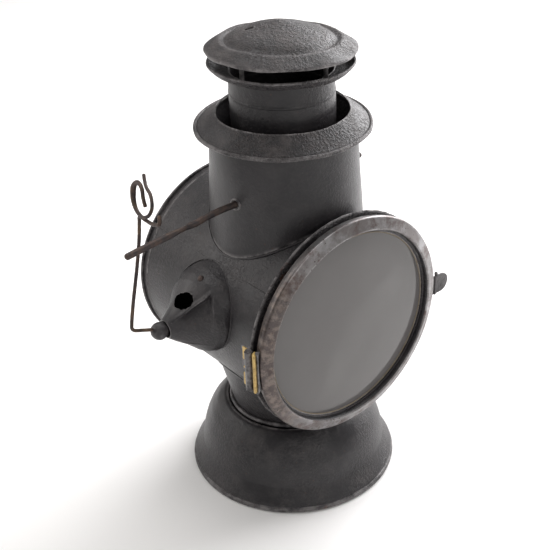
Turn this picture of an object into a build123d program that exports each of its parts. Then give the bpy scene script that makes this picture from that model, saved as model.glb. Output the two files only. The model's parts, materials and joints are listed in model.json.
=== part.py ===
"""Railway lantern: a horizontal lamp drum with a hinged bull's-eye door, on a flared base.

Origin at the centre of the base's underside, +Z up, +X towards the lens, -Y the side with
the door hinge and the wick winder. Millimetres.
"""

import os

from build123d import *

os.makedirs("parts", exist_ok=True)

# ---- driving dimensions -------------------------------------------------------------
SHEET = 1.0  # tinplate of the case
THIN = 0.8  # tinplate of the burner and reflector
OVER = 200.0  # reach of cutting tools well past the case

BASE_R = 82.5
FOOT = 4.2  # height and width of the rolled foot
BASE_CREASE = (73.4, 19.0)
BASE_TOP = (52.0, 58.0)
CUP_FLOOR_Z = 44.0
CUP_HOLE_R = 36.0

SOCKET_LOW_R = 43.2
SOCKET_HIGH = (57.6, 102.0)
SOCKET_BEAD = (47.6, 59.0)

DRUM_R = 77.0
DRUM_Z = 155.0
DRUM_BACK_X = -85.0
DRUM_FRONT_X = 61.0
FLANGE_R = 85.4
FLANGE_THICK = 2.0

NECK_LOW = (57.6, 200.0)
NECK_HIGH = (52.4, 298.8)
COLLAR_RIM = (62.6, 292.2)
COLLAR_BEAD = 1.5
COLLAR_MOUTH = (48.0, 303.6)
CHIMNEY_R = 37.3
CHIMNEY_LOW_Z = 262.0
TRAY_Z = 333.0
TRAY_LIP = (51.2, 338.2)
CAP_BRIM = (53.6, 347.6)
CAP_STEP = (39.0, 355.2)
CAP_PEAK_Z = 368.0
STRUT_COUNT = 4
STRUT_R = 1.6
STRUT_CIRCLE_R = 39.6

HINGE_X = 63.5
HINGE_Y = -88.8
HINGE_LOW_Z = 137.5
HINGE_HIGH_Z = 169.5
PIN_R = 1.2
KNUCKLE_R = 2.7
LEAF_THICK = 1.2
RUNNING_GAP = 0.05
END_GAP = 0.3

DOOR_BACK_X = 65.0
DOOR_EDGE = (71.0, 85.6)  # x, radius
DOOR_LIP = (75.6, 76.4)
DOOR_SHEET = 1.2
GLASS_R = 75.0
GLASS_BACK_X = 64.0
GLASS_EDGE = 5.0
GLASS_BULGE = 6.5
RING_WIDTH = 3.0
TAB_Z = 150.0
TAB_HALF = 8.0
TAB_REACH_Y = 105.5
TAB_THICK = 2.0
NIB = 5.0  # turned-up thumb piece of the tab
CATCH_PLATE = (13.0, 9.0)
CATCH_STUD_R = 2.0
CATCH_STUD_LONG = 2.6

ROD_R = 2.4
ROD_STUB = (11.0, 64.8, 250.2)
ROD_BEND = (11.0, -74.0, 250.2)
ROD_END = (11.0, -145.8, 243.5)
EYELET_R = 6.0
EYELET_THICK = 1.6
EYELET_ROOT = 4.0  # how deep the blank starts before the neck is taken out of it

BOSS_X = -5.0
BOSS_Z = 169.0
BOSS_R = 32.5
BOSS_RINGS = [  # y, shift in x, shift in z, loss of radius
    (-60.0, 0.0, -1.0, 0.0),
    (-79.0, 0.0, -4.0, 1.5),
    (-88.0, 0.0, -5.5, 7.5),
    (-96.0, 0.0, -6.0, 15.5),
    (-104.0, -0.5, -6.5, 21.5),
    (-110.0, -1.0, -6.0, 25.5),
]
BOSS_HOLE = (8.0, 6.0)  # half width and half height of the rusted-out hole
BOSS_HOLE_SHIFT = (-13.0, 4.5)
BOSS_HOLE_LEAN = -35
BOSS_DRUM_HOLE_R = 14.0
RIVET_R = 2.6
RIVET_PLACE = (-1.2, -79.0, 194.6)
GLAND_BALL = Vector(-6.3, -114.5, 163.4)
GLAND_BALL_R = 6.8
WIRE_R = 1.25
WICK_WHEEL = Vector(5.0, 0.0, 126.0)
WICK_WHEEL_R = 4.0
WINDER_AXIS = Vector(-11.0, -114.5, 39.0).normalized()
CRANK_CORNER = WICK_WHEEL + WINDER_AXIS * 145.0
CRANK_UP = Vector(-0.18061, 0.33262, 0.92560)  # square to the winder's axis
CRANK_GRIP = 92.0  # corner to the middle of the finger loop
LOOP_R = 14.5

FONT_R = 38.0
FONT_HIGH_Z = 96.0
FILLER_Y = 24.0
BURNER_PLATE_Z = 112.0
DOME_LOW_Z = 136.0
DOME_HIGH_Z = 148.0
WICK_TOP_Z = 149.0
WICK_THICK = 2.0
WICK_WIDE = 18.0
TUBE_WALL = THIN

LENS_AXIS = Axis((0, 0, DRUM_Z), (1, 0, 0))
SIDE_VIEW = Plane((0, 0, DRUM_Z), x_dir=(1, 0, 0), z_dir=(0, -1, 0))  # x, radius


def save(piece, label):
    """Name the finished piece and write it as its own file."""
    piece.part.label = label
    export_step(piece.part, f"parts/{label}.step")


def spun_sheet(points, thick=SHEET, side=Side.LEFT, plane=Plane.XZ, axis=Axis.Z):
    """Sheet metal spun to a profile: points of one face, with the thickness on one side."""
    with BuildPart() as spun:
        with BuildSketch(plane):
            with BuildLine():
                Polyline(*points)
                offset(amount=thick, side=side)
            make_face()
        revolve(axis=axis)
    return spun.part


def spun_ring(centre, wide, high, corner, plane=Plane.XZ, axis=Axis.Z):
    """Rolled edge or ring: a rounded rectangle carried round an axis."""
    with BuildPart() as ring:
        with BuildSketch(plane):
            with Locations(centre):
                RectangleRounded(wide, high, corner)
        revolve(axis=axis)
    return ring.part


def drum_plug(radius):
    """Solid cylinder along the drum's axis, longer than the lantern."""
    with BuildPart() as plug:
        with BuildSketch(Plane.YZ.offset(-OVER)):
            with Locations((0, DRUM_Z)):
                Circle(radius)
        extrude(amount=2 * OVER)
    return plug.part


drum_outside = drum_plug(DRUM_R)

# ---- base ---------------------------------------------------------------------------
with BuildPart() as base_foot:
    add(spun_ring((BASE_R - FOOT / 2, FOOT / 2), FOOT, FOOT, 1.6))
save(base_foot, "base_foot")

with BuildPart() as base_skirt:
    foot_top_r = BASE_R - FOOT / 2 + SHEET / 2
    add(
        spun_sheet(
            [
                (foot_top_r, FOOT),
                (foot_top_r, FOOT + 1.5),
                BASE_CREASE,
                (71.6, 31.0),
                (67.8, 42.0),
                (62.4, 50.6),
                (56.6, 56.2),
                (BASE_TOP[0] + 1.6, BASE_TOP[1]),
                BASE_TOP,
            ]
        )
    )
save(base_skirt, "base_skirt")

with BuildPart() as seat_cup:
    add(
        spun_sheet(
            [
                BASE_TOP,
                (BASE_TOP[0], CUP_FLOOR_Z),
                (CUP_HOLE_R, CUP_FLOOR_Z),
            ],
            side=Side.RIGHT,
        )
    )
save(seat_cup, "seat_cup")

# ---- socket between the base and the drum ---------------------------------------------
with BuildPart() as socket_cone:
    add(
        spun_sheet(
            [
                (SOCKET_LOW_R, CUP_FLOOR_Z + SHEET),
                (SOCKET_LOW_R, CUP_FLOOR_Z + 2 * SHEET),
                SOCKET_HIGH,
                (SOCKET_HIGH[0], SOCKET_HIGH[1] + 8 * SHEET),
            ]
        )
    )
    add(drum_outside, mode=Mode.SUBTRACT)
save(socket_cone, "socket_cone")

with BuildPart() as socket_bead:
    with BuildSketch(Plane.XZ):
        with Locations((SOCKET_BEAD[0] + 0.6, SOCKET_BEAD[1])):
            Circle(1.6)
    revolve(axis=Axis.Z)
    add(
        spun_sheet(
            [
                (SOCKET_LOW_R, CUP_FLOOR_Z + 2 * SHEET),
                SOCKET_HIGH,
            ],
            thick=6 * SHEET,
        ),
        mode=Mode.SUBTRACT,
    )
save(socket_bead, "socket_bead")

# ---- drum -----------------------------------------------------------------------------
with BuildPart() as drum_shell:
    with BuildSketch(Plane.YZ.offset(DRUM_BACK_X)):
        with Locations((0, DRUM_Z)):
            Circle(DRUM_R)
            Circle(DRUM_R - SHEET, mode=Mode.SUBTRACT)
    extrude(amount=DRUM_FRONT_X - DRUM_BACK_X)
    # Draught holes under the neck and over the socket, and the winder shaft's way in.
    with BuildSketch(Plane.XY.offset(DRUM_Z)):
        Circle(NECK_LOW[0] - 8)
    extrude(amount=OVER, mode=Mode.SUBTRACT)
    with BuildSketch(Plane.XY.offset(DRUM_Z)):
        Circle(SOCKET_LOW_R)
    extrude(amount=-OVER, mode=Mode.SUBTRACT)
    with BuildSketch(Plane.XZ):
        with Locations((GLAND_BALL.X, GLAND_BALL.Z - BOSS_DRUM_HOLE_R / 2)):
            Circle(BOSS_DRUM_HOLE_R)
    extrude(amount=OVER, mode=Mode.SUBTRACT)
save(drum_shell, "drum_shell")

with BuildPart() as rear_cover:
    add(
        spun_sheet(
            [
                (DRUM_BACK_X, DRUM_R + 1.0),
                (DRUM_BACK_X, DRUM_R - 8),
                (DRUM_BACK_X + 2.5, DRUM_R - 11),
                (DRUM_BACK_X + 2.5, 0),
            ],
            side=Side.RIGHT,
            plane=SIDE_VIEW,
            axis=LENS_AXIS,
        )
    )
save(rear_cover, "rear_cover")

with BuildPart() as rear_bead:
    add(
        spun_ring(
            (DRUM_BACK_X + 1.25, DRUM_R + 0.5),
            2.5,
            1.0,
            0.45,
            plane=SIDE_VIEW,
            axis=LENS_AXIS,
        )
    )
save(rear_bead, "rear_bead")

with BuildPart() as front_flange:
    add(
        spun_ring(
            (DRUM_FRONT_X - FLANGE_THICK / 2, (FLANGE_R + DRUM_R) / 2),
            FLANGE_THICK,
            FLANGE_R - DRUM_R,
            0.6,
            plane=SIDE_VIEW,
            axis=LENS_AXIS,
        )
    )
save(front_flange, "front_flange")

# ---- neck, draught collar, chimney and cap ----------------------------------------------
with BuildPart() as neck_tube:
    add(spun_sheet([NECK_LOW, (NECK_HIGH[0], NECK_HIGH[1] - 2 * SHEET), NECK_HIGH]))
    add(drum_outside, mode=Mode.SUBTRACT)
    with BuildSketch(Plane.XZ.offset(-OVER)):
        with Locations((ROD_STUB[0], ROD_STUB[2])):
            Circle(ROD_R + RUNNING_GAP)
    extrude(amount=2 * OVER, mode=Mode.SUBTRACT)
save(neck_tube, "neck_tube")

neck_slope = (NECK_LOW[0] - NECK_HIGH[0]) / (NECK_HIGH[1] - NECK_LOW[1])
neck_at_rod = NECK_HIGH[0] + neck_slope * (NECK_HIGH[1] - ROD_STUB[2])

with BuildPart() as rod_eyelets:
    for side in (1, -1):
        with BuildSketch(Plane.XZ.offset(-side * (neck_at_rod - EYELET_ROOT))):
            with Locations((ROD_STUB[0], ROD_STUB[2])):
                Circle(EYELET_R)
                Circle(ROD_R + RUNNING_GAP, mode=Mode.SUBTRACT)
        extrude(amount=-side * (EYELET_THICK + EYELET_ROOT))
    with BuildSketch(Plane.XZ):
        with BuildLine():
            Polyline(
                (0, NECK_LOW[1]),
                NECK_LOW,
                (NECK_HIGH[0], NECK_HIGH[1] - 2 * SHEET),
                (0, NECK_HIGH[1]),
                close=True,
            )
        make_face()
    revolve(axis=Axis.Z, mode=Mode.SUBTRACT)
save(rod_eyelets, "rod_eyelets")

with BuildPart() as collar_bead:
    with BuildSketch(Plane.XZ):
        with Locations(COLLAR_RIM):
            Circle(COLLAR_BEAD)
    revolve(axis=Axis.Z)
save(collar_bead, "collar_bead")

with BuildPart() as draught_collar:
    add(spun_sheet([COLLAR_RIM, COLLAR_MOUTH]))
    add(collar_bead.part, mode=Mode.SUBTRACT)
save(draught_collar, "draught_collar")

with BuildPart() as chimney_tube:
    add(
        spun_sheet(
            [
                (CHIMNEY_R, CHIMNEY_LOW_Z),
                (CHIMNEY_R, TRAY_Z),
            ]
        )
    )
save(chimney_tube, "chimney_tube")

# Three strips hold the chimney in the middle of the neck.
SPIDER_Z = 284.0
spider_reach = NECK_HIGH[0] + neck_slope * (NECK_HIGH[1] - SPIDER_Z - 10) - SHEET
with BuildPart() as chimney_spider:
    with BuildSketch(Plane.XY.offset(SPIDER_Z)):
        with PolarLocations((CHIMNEY_R + spider_reach) / 2, 3, start_angle=30):
            Rectangle(spider_reach - CHIMNEY_R + 4, SHEET)
        Circle(spider_reach - 0.2, mode=Mode.INTERSECT)
        Circle(CHIMNEY_R, mode=Mode.SUBTRACT)
    extrude(amount=10)
save(chimney_spider, "chimney_spider")

with BuildPart() as cap_tray:
    add(
        spun_sheet(
            [
                (CHIMNEY_R - SHEET, TRAY_Z),
                (46.4, TRAY_Z),
                TRAY_LIP,
                (TRAY_LIP[0], TRAY_LIP[1] + SHEET),
            ]
        )
    )
save(cap_tray, "cap_tray")

with BuildPart() as cap_top:
    with BuildSketch(Plane.XZ):
        with BuildLine():
            Polyline(
                (0, CAP_PEAK_Z),
                (2.5, CAP_PEAK_Z - 0.5),
                (CAP_STEP[0] - 1.4, CAP_STEP[1] + 1.6),
                CAP_STEP,
                (CAP_BRIM[0] - 1.2, CAP_BRIM[1] + 1.4),
                CAP_BRIM,
                (CAP_BRIM[0] - 1.2, CAP_BRIM[1] - 1.4),
                (CAP_STEP[0], CAP_STEP[1] - 1.6),
                (CAP_STEP[0] - 2.2, CAP_STEP[1]),
                (0, CAP_PEAK_Z - 1.4),
                close=True,
            )
        make_face()
    revolve(axis=Axis.Z)
    # A rust hole in the cone.
    with BuildSketch(Plane.XY.offset(CAP_STEP[1])):
        with Locations(Location((-10.6, -18.4, 0), 52)):
            SlotOverall(5.4, 2.6)
    extrude(amount=OVER, mode=Mode.SUBTRACT)
save(cap_top, "cap_top")

brim_slope = (CAP_STEP[1] - CAP_BRIM[1]) / (CAP_BRIM[0] - CAP_STEP[0])
strut_top_z = CAP_STEP[1] - 1.65 - brim_slope * (STRUT_CIRCLE_R + STRUT_R - CAP_STEP[0])
with BuildPart() as cap_struts:
    with BuildSketch(Plane.XY.offset(TRAY_Z + SHEET)):
        with PolarLocations(STRUT_CIRCLE_R, STRUT_COUNT, start_angle=9):
            Circle(STRUT_R)
    extrude(amount=strut_top_z - TRAY_Z - SHEET)
save(cap_struts, "cap_struts")

# ---- door ---------------------------------------------------------------------------------
with BuildPart() as door_bezel:
    add(
        spun_sheet(
            [
                (DOOR_BACK_X, DOOR_EDGE[1] - 2.4),
                (DOOR_EDGE[0] - 1.2, DOOR_EDGE[1] - 0.6),
                DOOR_EDGE,
                (DOOR_EDGE[0] + 1.2, DOOR_EDGE[1] - 0.8),
                DOOR_LIP,
            ],
            thick=DOOR_SHEET,
            side=Side.RIGHT,
            plane=SIDE_VIEW,
            axis=LENS_AXIS,
        )
    )
save(door_bezel, "door_bezel")

bulge_sphere_r = (GLASS_R**2 + GLASS_BULGE**2) / (2 * GLASS_BULGE)
glass_front_x = GLASS_BACK_X + GLASS_EDGE
with BuildPart() as lens_glass:
    with BuildSketch(SIDE_VIEW):
        with BuildLine():
            Polyline(
                (glass_front_x + GLASS_BULGE, 0),
                (GLASS_BACK_X, 0),
                (GLASS_BACK_X, GLASS_R),
                (glass_front_x, GLASS_R),
            )
            RadiusArc(
                (glass_front_x, GLASS_R),
                (glass_front_x + GLASS_BULGE, 0),
                bulge_sphere_r,
            )
        make_face()
    revolve(axis=LENS_AXIS)
save(lens_glass, "lens_glass")

GASKET_THICK = 1.6
with BuildPart() as lens_gasket:
    add(
        spun_ring(
            (glass_front_x + GASKET_THICK / 2 + 0.6, GLASS_R - 0.9),
            GASKET_THICK,
            1.8,
            0.4,
            plane=SIDE_VIEW,
            axis=LENS_AXIS,
        )
    )
save(lens_gasket, "lens_gasket")

with BuildPart() as lens_ring:
    add(
        spun_ring(
            (GLASS_BACK_X - 0.6, GLASS_R - RING_WIDTH / 2),
            1.2,
            RING_WIDTH,
            0.5,
            plane=SIDE_VIEW,
            axis=LENS_AXIS,
        )
    )
save(lens_ring, "lens_ring")

with BuildPart() as door_tab:
    with BuildSketch(Plane.YZ.offset(DOOR_BACK_X + 1)):
        with BuildLine():
            Polyline(
                (TAB_REACH_Y - TAB_HALF, TAB_Z - TAB_HALF),
                (DOOR_EDGE[1] - 8, TAB_Z - TAB_HALF),
                (DOOR_EDGE[1] - 8, TAB_Z + TAB_HALF),
                (TAB_REACH_Y - TAB_HALF, TAB_Z + TAB_HALF),
            )
            ThreePointArc(
                (TAB_REACH_Y - TAB_HALF, TAB_Z + TAB_HALF),
                (TAB_REACH_Y, TAB_Z),
                (TAB_REACH_Y - TAB_HALF, TAB_Z - TAB_HALF),
            )
        make_face()
    extrude(amount=TAB_THICK)
    # Turned-up nib for the thumb.
    with Locations((DOOR_BACK_X + 1 + TAB_THICK / 2, TAB_REACH_Y - 9, TAB_Z + TAB_HALF)):
        Box(TAB_THICK, NIB, NIB)
    with BuildSketch(SIDE_VIEW):
        Rectangle(4 * DOOR_EDGE[0], DOOR_EDGE[1], align=(Align.CENTER, Align.MIN))
    revolve(axis=LENS_AXIS, mode=Mode.SUBTRACT)
save(door_tab, "door_tab")

with BuildPart() as door_catch:
    with BuildSketch(Plane.YZ.offset(DRUM_FRONT_X)):
        with Locations((FLANGE_R + CATCH_PLATE[0] / 5, TAB_Z)):
            RectangleRounded(*CATCH_PLATE, 1.5)
    extrude(amount=-SHEET)
    with BuildSketch(Plane.YZ.offset(DRUM_FRONT_X)):
        with Locations((FLANGE_R + 5, TAB_Z)):
            Circle(CATCH_STUD_R)
    extrude(amount=CATCH_STUD_LONG)
    add(front_flange.part, mode=Mode.SUBTRACT)
save(door_catch, "door_catch")

# ---- door hinge -----------------------------------------------------------------------------
KNUCKLES = 3
hinge_length = HINGE_HIGH_Z - HINGE_LOW_Z
knuckle_length = hinge_length / KNUCKLES
hinge_bore = Plane.XY.offset(HINGE_LOW_Z - OVER / 2)


def hinge_leaf(low_z, high_z, inner_x, outer_x):
    """Flat leaf in the XZ plane beside the pin, open at the other leaf's knuckles."""
    with BuildPart() as leaf:
        with BuildSketch(Plane.XZ.offset(-(HINGE_Y + KNUCKLE_R - LEAF_THICK))):
            with Locations(((inner_x + outer_x) / 2, (low_z + high_z) / 2)):
                Rectangle(abs(outer_x - inner_x), high_z - low_z)
        extrude(amount=-LEAF_THICK)
    return leaf.part


def knuckle(low_z, high_z):
    """Rolled knuckle, its bore still to be cut."""
    with BuildPart() as roll:
        with BuildSketch(Plane.XY.offset(low_z)):
            with Locations((HINGE_X, HINGE_Y)):
                Circle(KNUCKLE_R)
        extrude(amount=high_z - low_z)
    return roll.part


middle_low = HINGE_LOW_Z + knuckle_length
middle_high = HINGE_HIGH_Z - knuckle_length
leaf_gap = KNUCKLE_R + END_GAP

with BuildPart() as hinge_leaf_case:
    add(hinge_leaf(HINGE_LOW_Z, HINGE_HIGH_Z, HINGE_X - leaf_gap, DRUM_FRONT_X - 6.6))
    for low_z in (HINGE_LOW_Z, middle_high):
        high_z = low_z + knuckle_length
        add(hinge_leaf(low_z, high_z, HINGE_X, HINGE_X - leaf_gap - 0.5))
        add(knuckle(low_z, high_z))
    # Two lugs soldered to the flange's edge carry the leaf.
    with BuildSketch(Plane.XY.offset(HINGE_LOW_Z)):
        with Locations((DRUM_FRONT_X - FLANGE_THICK / 2, HINGE_Y + KNUCKLE_R)):
            Rectangle(FLANGE_THICK, 8, align=(Align.CENTER, Align.MIN))
    extrude(amount=hinge_length)
    add(front_flange.part, mode=Mode.SUBTRACT)
    add(drum_outside, mode=Mode.SUBTRACT)
    with BuildSketch(hinge_bore):
        with Locations((HINGE_X, HINGE_Y)):
            Circle(PIN_R)
    extrude(amount=OVER, mode=Mode.SUBTRACT)
save(hinge_leaf_case, "hinge_leaf_case")

with BuildPart() as door_solid:
    with BuildSketch(SIDE_VIEW):
        with BuildLine():
            Polyline(
                (DOOR_BACK_X, 0),
                (DOOR_BACK_X, DOOR_EDGE[1] - 2.4),
                (DOOR_EDGE[0] - 1.2, DOOR_EDGE[1] - 0.6),
                DOOR_EDGE,
                (DOOR_EDGE[0] + 1.2, DOOR_EDGE[1] - 0.8),
                DOOR_LIP,
                (DOOR_LIP[0], 0),
                close=True,
            )
        make_face()
    revolve(axis=LENS_AXIS)

with BuildPart() as hinge_leaf_door:
    add(hinge_leaf(middle_low + END_GAP, middle_high - END_GAP, HINGE_X, HINGE_X + leaf_gap))
    add(hinge_leaf(HINGE_LOW_Z, HINGE_HIGH_Z, HINGE_X + leaf_gap, DOOR_EDGE[0] + 0.4))
    add(knuckle(middle_low + END_GAP, middle_high - END_GAP))
    with BuildSketch(Plane.XY.offset(HINGE_LOW_Z)):
        with Locations((DOOR_EDGE[0] - 2.2, HINGE_Y + KNUCKLE_R)):
            Rectangle(2.4, 5, align=(Align.CENTER, Align.MIN))
    extrude(amount=hinge_length)
    add(door_solid.part, mode=Mode.SUBTRACT)
    with BuildSketch(hinge_bore):
        with Locations((HINGE_X, HINGE_Y)):
            Circle(PIN_R + RUNNING_GAP)
    extrude(amount=OVER, mode=Mode.SUBTRACT)
save(hinge_leaf_door, "hinge_leaf_door")

with BuildPart() as hinge_pin:
    with BuildSketch(Plane.XY.offset(HINGE_LOW_Z - 1.2)):
        with Locations((HINGE_X, HINGE_Y)):
            Circle(PIN_R)
    extrude(amount=hinge_length + 2.4)
    with BuildSketch(Plane.XY.offset(HINGE_HIGH_Z)):
        with Locations((HINGE_X, HINGE_Y)):
            Circle(PIN_R + 0.8)
    extrude(amount=1.2)
save(hinge_pin, "hinge_pin")

# ---- reflector --------------------------------------------------------------------------------
REFLECTOR_RIM = (-22.0, 56.0)  # x, radius
REFLECTOR_VERTEX_X = -50.0
reflector_depth = REFLECTOR_RIM[0] - REFLECTOR_VERTEX_X
REFLECTOR_SPHERE_R = (REFLECTOR_RIM[1] ** 2 + reflector_depth**2) / (2 * reflector_depth)
with BuildPart() as reflector:
    with BuildSketch(SIDE_VIEW):
        with Locations((REFLECTOR_VERTEX_X + REFLECTOR_SPHERE_R, 0)):
            Circle(REFLECTOR_SPHERE_R)
            Circle(REFLECTOR_SPHERE_R - THIN, mode=Mode.SUBTRACT)
        with Locations((REFLECTOR_RIM[0], 0)):
            Rectangle(OVER, OVER, align=(Align.MAX, Align.MIN), mode=Mode.INTERSECT)
    revolve(axis=LENS_AXIS)
save(reflector, "reflector")

with BuildPart() as reflector_stay:
    with BuildSketch(Plane.YZ.offset(DRUM_BACK_X + 2.5 + SHEET)):
        with Locations((0, DRUM_Z)):
            Circle(5)
    extrude(amount=REFLECTOR_VERTEX_X - DRUM_BACK_X)
    with Locations((REFLECTOR_VERTEX_X + REFLECTOR_SPHERE_R, 0, DRUM_Z)):
        Sphere(REFLECTOR_SPHERE_R, mode=Mode.SUBTRACT)
save(reflector_stay, "reflector_stay")

# ---- oil font and burner ----------------------------------------------------------------------
font_low_z = CUP_FLOOR_Z + SHEET
with BuildPart() as oil_font:
    with BuildSketch(Plane.XY.offset(font_low_z)):
        Circle(FONT_R)
    extrude(amount=FONT_HIGH_Z - font_low_z)
    fillet(oil_font.edges().group_by(Axis.Z)[-1], radius=8)
    with BuildSketch(Plane.XY.offset(font_low_z + THIN)):
        Circle(FONT_R - THIN)
    extrude(amount=FONT_HIGH_Z - font_low_z - 8, mode=Mode.SUBTRACT)
    with BuildSketch(Plane.XY.offset(font_low_z + THIN)):
        Circle(12)
        with Locations((0, FILLER_Y)):
            Circle(5)
    extrude(amount=FONT_HIGH_Z, mode=Mode.SUBTRACT)
save(oil_font, "oil_font")

with BuildPart() as filler_cap:
    with BuildSketch(Plane.XY.offset(FONT_HIGH_Z)):
        with Locations((0, FILLER_Y)):
            Circle(6)
    extrude(amount=4)
    chamfer(filler_cap.edges().group_by(Axis.Z)[-1], length=0.8)
    with BuildSketch(Plane.XY.offset(FONT_HIGH_Z)):
        with Locations((0, FILLER_Y)):
            Circle(4.9)
    extrude(amount=-6)
save(filler_cap, "filler_cap")

tube_thick = WICK_THICK + 0.6
tube_wide = WICK_WIDE + 0.6
with BuildPart() as burner_collar:
    with BuildSketch(Plane.XY.offset(FONT_HIGH_Z)):
        Circle(14)
        Rectangle(tube_thick + 2 * TUBE_WALL, tube_wide + 2 * TUBE_WALL, mode=Mode.SUBTRACT)
    extrude(amount=BURNER_PLATE_Z - FONT_HIGH_Z)
    chamfer(burner_collar.edges().filter_by(GeomType.CIRCLE).group_by(Axis.Z)[-1], length=1.5)
save(burner_collar, "burner_collar")

PLATE_R = 24.0
POST_R = 0.9
dome_rise = DOME_HIGH_Z - DOME_LOW_Z
DOME_SPHERE_R = (PLATE_R**2 + dome_rise**2) / (2 * dome_rise)
with BuildPart() as burner_plate:
    with BuildSketch(Plane.XY.offset(BURNER_PLATE_Z)):
        Circle(PLATE_R)
        Rectangle(tube_thick + 2 * TUBE_WALL, tube_wide + 2 * TUBE_WALL, mode=Mode.SUBTRACT)
        with PolarLocations(17, 12, start_angle=15):
            Circle(1.6, mode=Mode.SUBTRACT)
    extrude(amount=SHEET)
    # Three posts carry the dome.
    with BuildSketch(Plane.XY.offset(BURNER_PLATE_Z + SHEET)):
        with PolarLocations(PLATE_R - 3, 3, start_angle=90):
            Circle(POST_R)
    extrude(amount=DOME_LOW_Z - BURNER_PLATE_Z - SHEET)
save(burner_plate, "burner_plate")

with BuildPart() as burner_dome:
    with BuildSketch(Plane.XZ):
        with Locations((0, DOME_HIGH_Z - DOME_SPHERE_R)):
            Circle(DOME_SPHERE_R)
            Circle(DOME_SPHERE_R - THIN, mode=Mode.SUBTRACT)
        with Locations((0, DOME_LOW_Z)):
            Rectangle(OVER, OVER, align=(Align.MIN, Align.MIN), mode=Mode.INTERSECT)
    revolve(axis=Axis.Z)
    with BuildSketch(Plane.XY.offset(DOME_LOW_Z)):
        Rectangle(tube_thick + 4, tube_wide + 4)
    extrude(amount=OVER, mode=Mode.SUBTRACT)
save(burner_dome, "burner_dome")

with BuildPart() as wick_tube:
    with BuildSketch(Plane.XY.offset(FONT_HIGH_Z - 4)):
        Rectangle(tube_thick + 2 * TUBE_WALL, tube_wide + 2 * TUBE_WALL)
        Rectangle(tube_thick, tube_wide, mode=Mode.SUBTRACT)
    extrude(amount=DOME_HIGH_Z - 1 - (FONT_HIGH_Z - 4))
    # Window that the wick wheel reaches through.
    with Locations((tube_thick, WICK_WHEEL.Y, WICK_WHEEL.Z)):
        Box(2 * tube_thick, 7, 13, mode=Mode.SUBTRACT)
save(wick_tube, "wick_tube")

with BuildPart() as wick:
    with BuildSketch(Plane.XY.offset(font_low_z + 16)):
        Rectangle(WICK_THICK, WICK_WIDE)
    extrude(amount=WICK_TOP_Z - font_low_z - 16)
save(wick, "wick")

# ---- wick winder: boss, gland ball, crank and wheel ---------------------------------------------
shaft_plane = Plane(WICK_WHEEL, z_dir=WINDER_AXIS)
shaft_length = (CRANK_CORNER - WICK_WHEEL).length


def boss_sections(inset):
    """Circles from the drum's side out to the gland, each shrunk by the sheet's thickness."""
    with BuildPart() as body:
        for y, shift_x, shift_z, loss in BOSS_RINGS:
            with BuildSketch(Plane.XZ.offset(-y)):
                with Locations((BOSS_X + shift_x, BOSS_Z + shift_z)):
                    Circle(BOSS_R - loss - inset)
        loft()
    return body.part


with BuildPart() as winder_boss:
    add(boss_sections(0))
    add(boss_sections(SHEET), mode=Mode.SUBTRACT)
    add(drum_outside, mode=Mode.SUBTRACT)
    with BuildSketch(shaft_plane):
        Circle(WIRE_R + 0.4)
    extrude(amount=shaft_length, mode=Mode.SUBTRACT)
    with BuildSketch(Plane.XZ):
        hole_x = BOSS_X + BOSS_HOLE_SHIFT[0]
        hole_z = BOSS_Z + BOSS_HOLE_SHIFT[1]
        with Locations(Location((hole_x, hole_z, 0), BOSS_HOLE_LEAN)):
            Ellipse(*BOSS_HOLE)
    extrude(amount=OVER, mode=Mode.SUBTRACT)
save(winder_boss, "winder_boss")

with BuildPart() as gland_ball:
    with Locations(GLAND_BALL):
        Sphere(GLAND_BALL_R)
    add(boss_sections(0), mode=Mode.SUBTRACT)
    with BuildSketch(shaft_plane):
        Circle(WIRE_R + RUNNING_GAP)
    extrude(amount=shaft_length, mode=Mode.SUBTRACT)
save(gland_ball, "gland_ball")

with BuildPart() as boss_rivet:
    with Locations(RIVET_PLACE):
        Sphere(RIVET_R)
    add(boss_sections(0), mode=Mode.SUBTRACT)
    add(drum_outside, mode=Mode.SUBTRACT)
save(boss_rivet, "boss_rivet")

with BuildPart() as wick_wheel:
    with BuildSketch(shaft_plane.offset(-1.0)):
        Circle(WICK_WHEEL_R - 0.3)
        Circle(WIRE_R, mode=Mode.SUBTRACT)
        with PolarLocations(WICK_WHEEL_R - 0.4, 12):
            Circle(0.35)
    extrude(amount=2.0)
save(wick_wheel, "wick_wheel")

loop_middle = CRANK_CORNER + CRANK_UP * CRANK_GRIP
swing = WINDER_AXIS.cross(CRANK_UP)
loop_foot = loop_middle - CRANK_UP * LOOP_R
with BuildPart() as winder_crank:
    with BuildLine():
        FilletPolyline(
            WICK_WHEEL - WINDER_AXIS * 2,
            CRANK_CORNER,
            loop_foot,
            radius=4,
        )
    with BuildSketch(Plane(WICK_WHEEL - WINDER_AXIS * 2, z_dir=WINDER_AXIS)):
        Circle(WIRE_R)
    sweep()
    # Finger loop in the plane that the crank sweeps.
    with Locations(Plane(loop_middle, x_dir=swing, z_dir=WINDER_AXIS)):
        Torus(LOOP_R, WIRE_R + 0.15)
save(winder_crank, "winder_crank")

# ---- carrying rod through the neck --------------------------------------------------------------
with BuildPart() as carrying_rod:
    with BuildLine():
        FilletPolyline(ROD_STUB, ROD_BEND, ROD_END, radius=30)
    with BuildSketch(Plane(ROD_STUB, z_dir=(0, -1, 0))):
        Circle(ROD_R)
    sweep()
save(carrying_rod, "carrying_rod")
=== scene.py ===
"""Looks of the railway lantern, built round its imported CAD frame.

Metres, +Z up, +X out through the lens, -Y the side of the door hinge and the wick winder.
"""

import json
import math

import bmesh
import bpy
from mathutils import Matrix, Vector, noise


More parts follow.
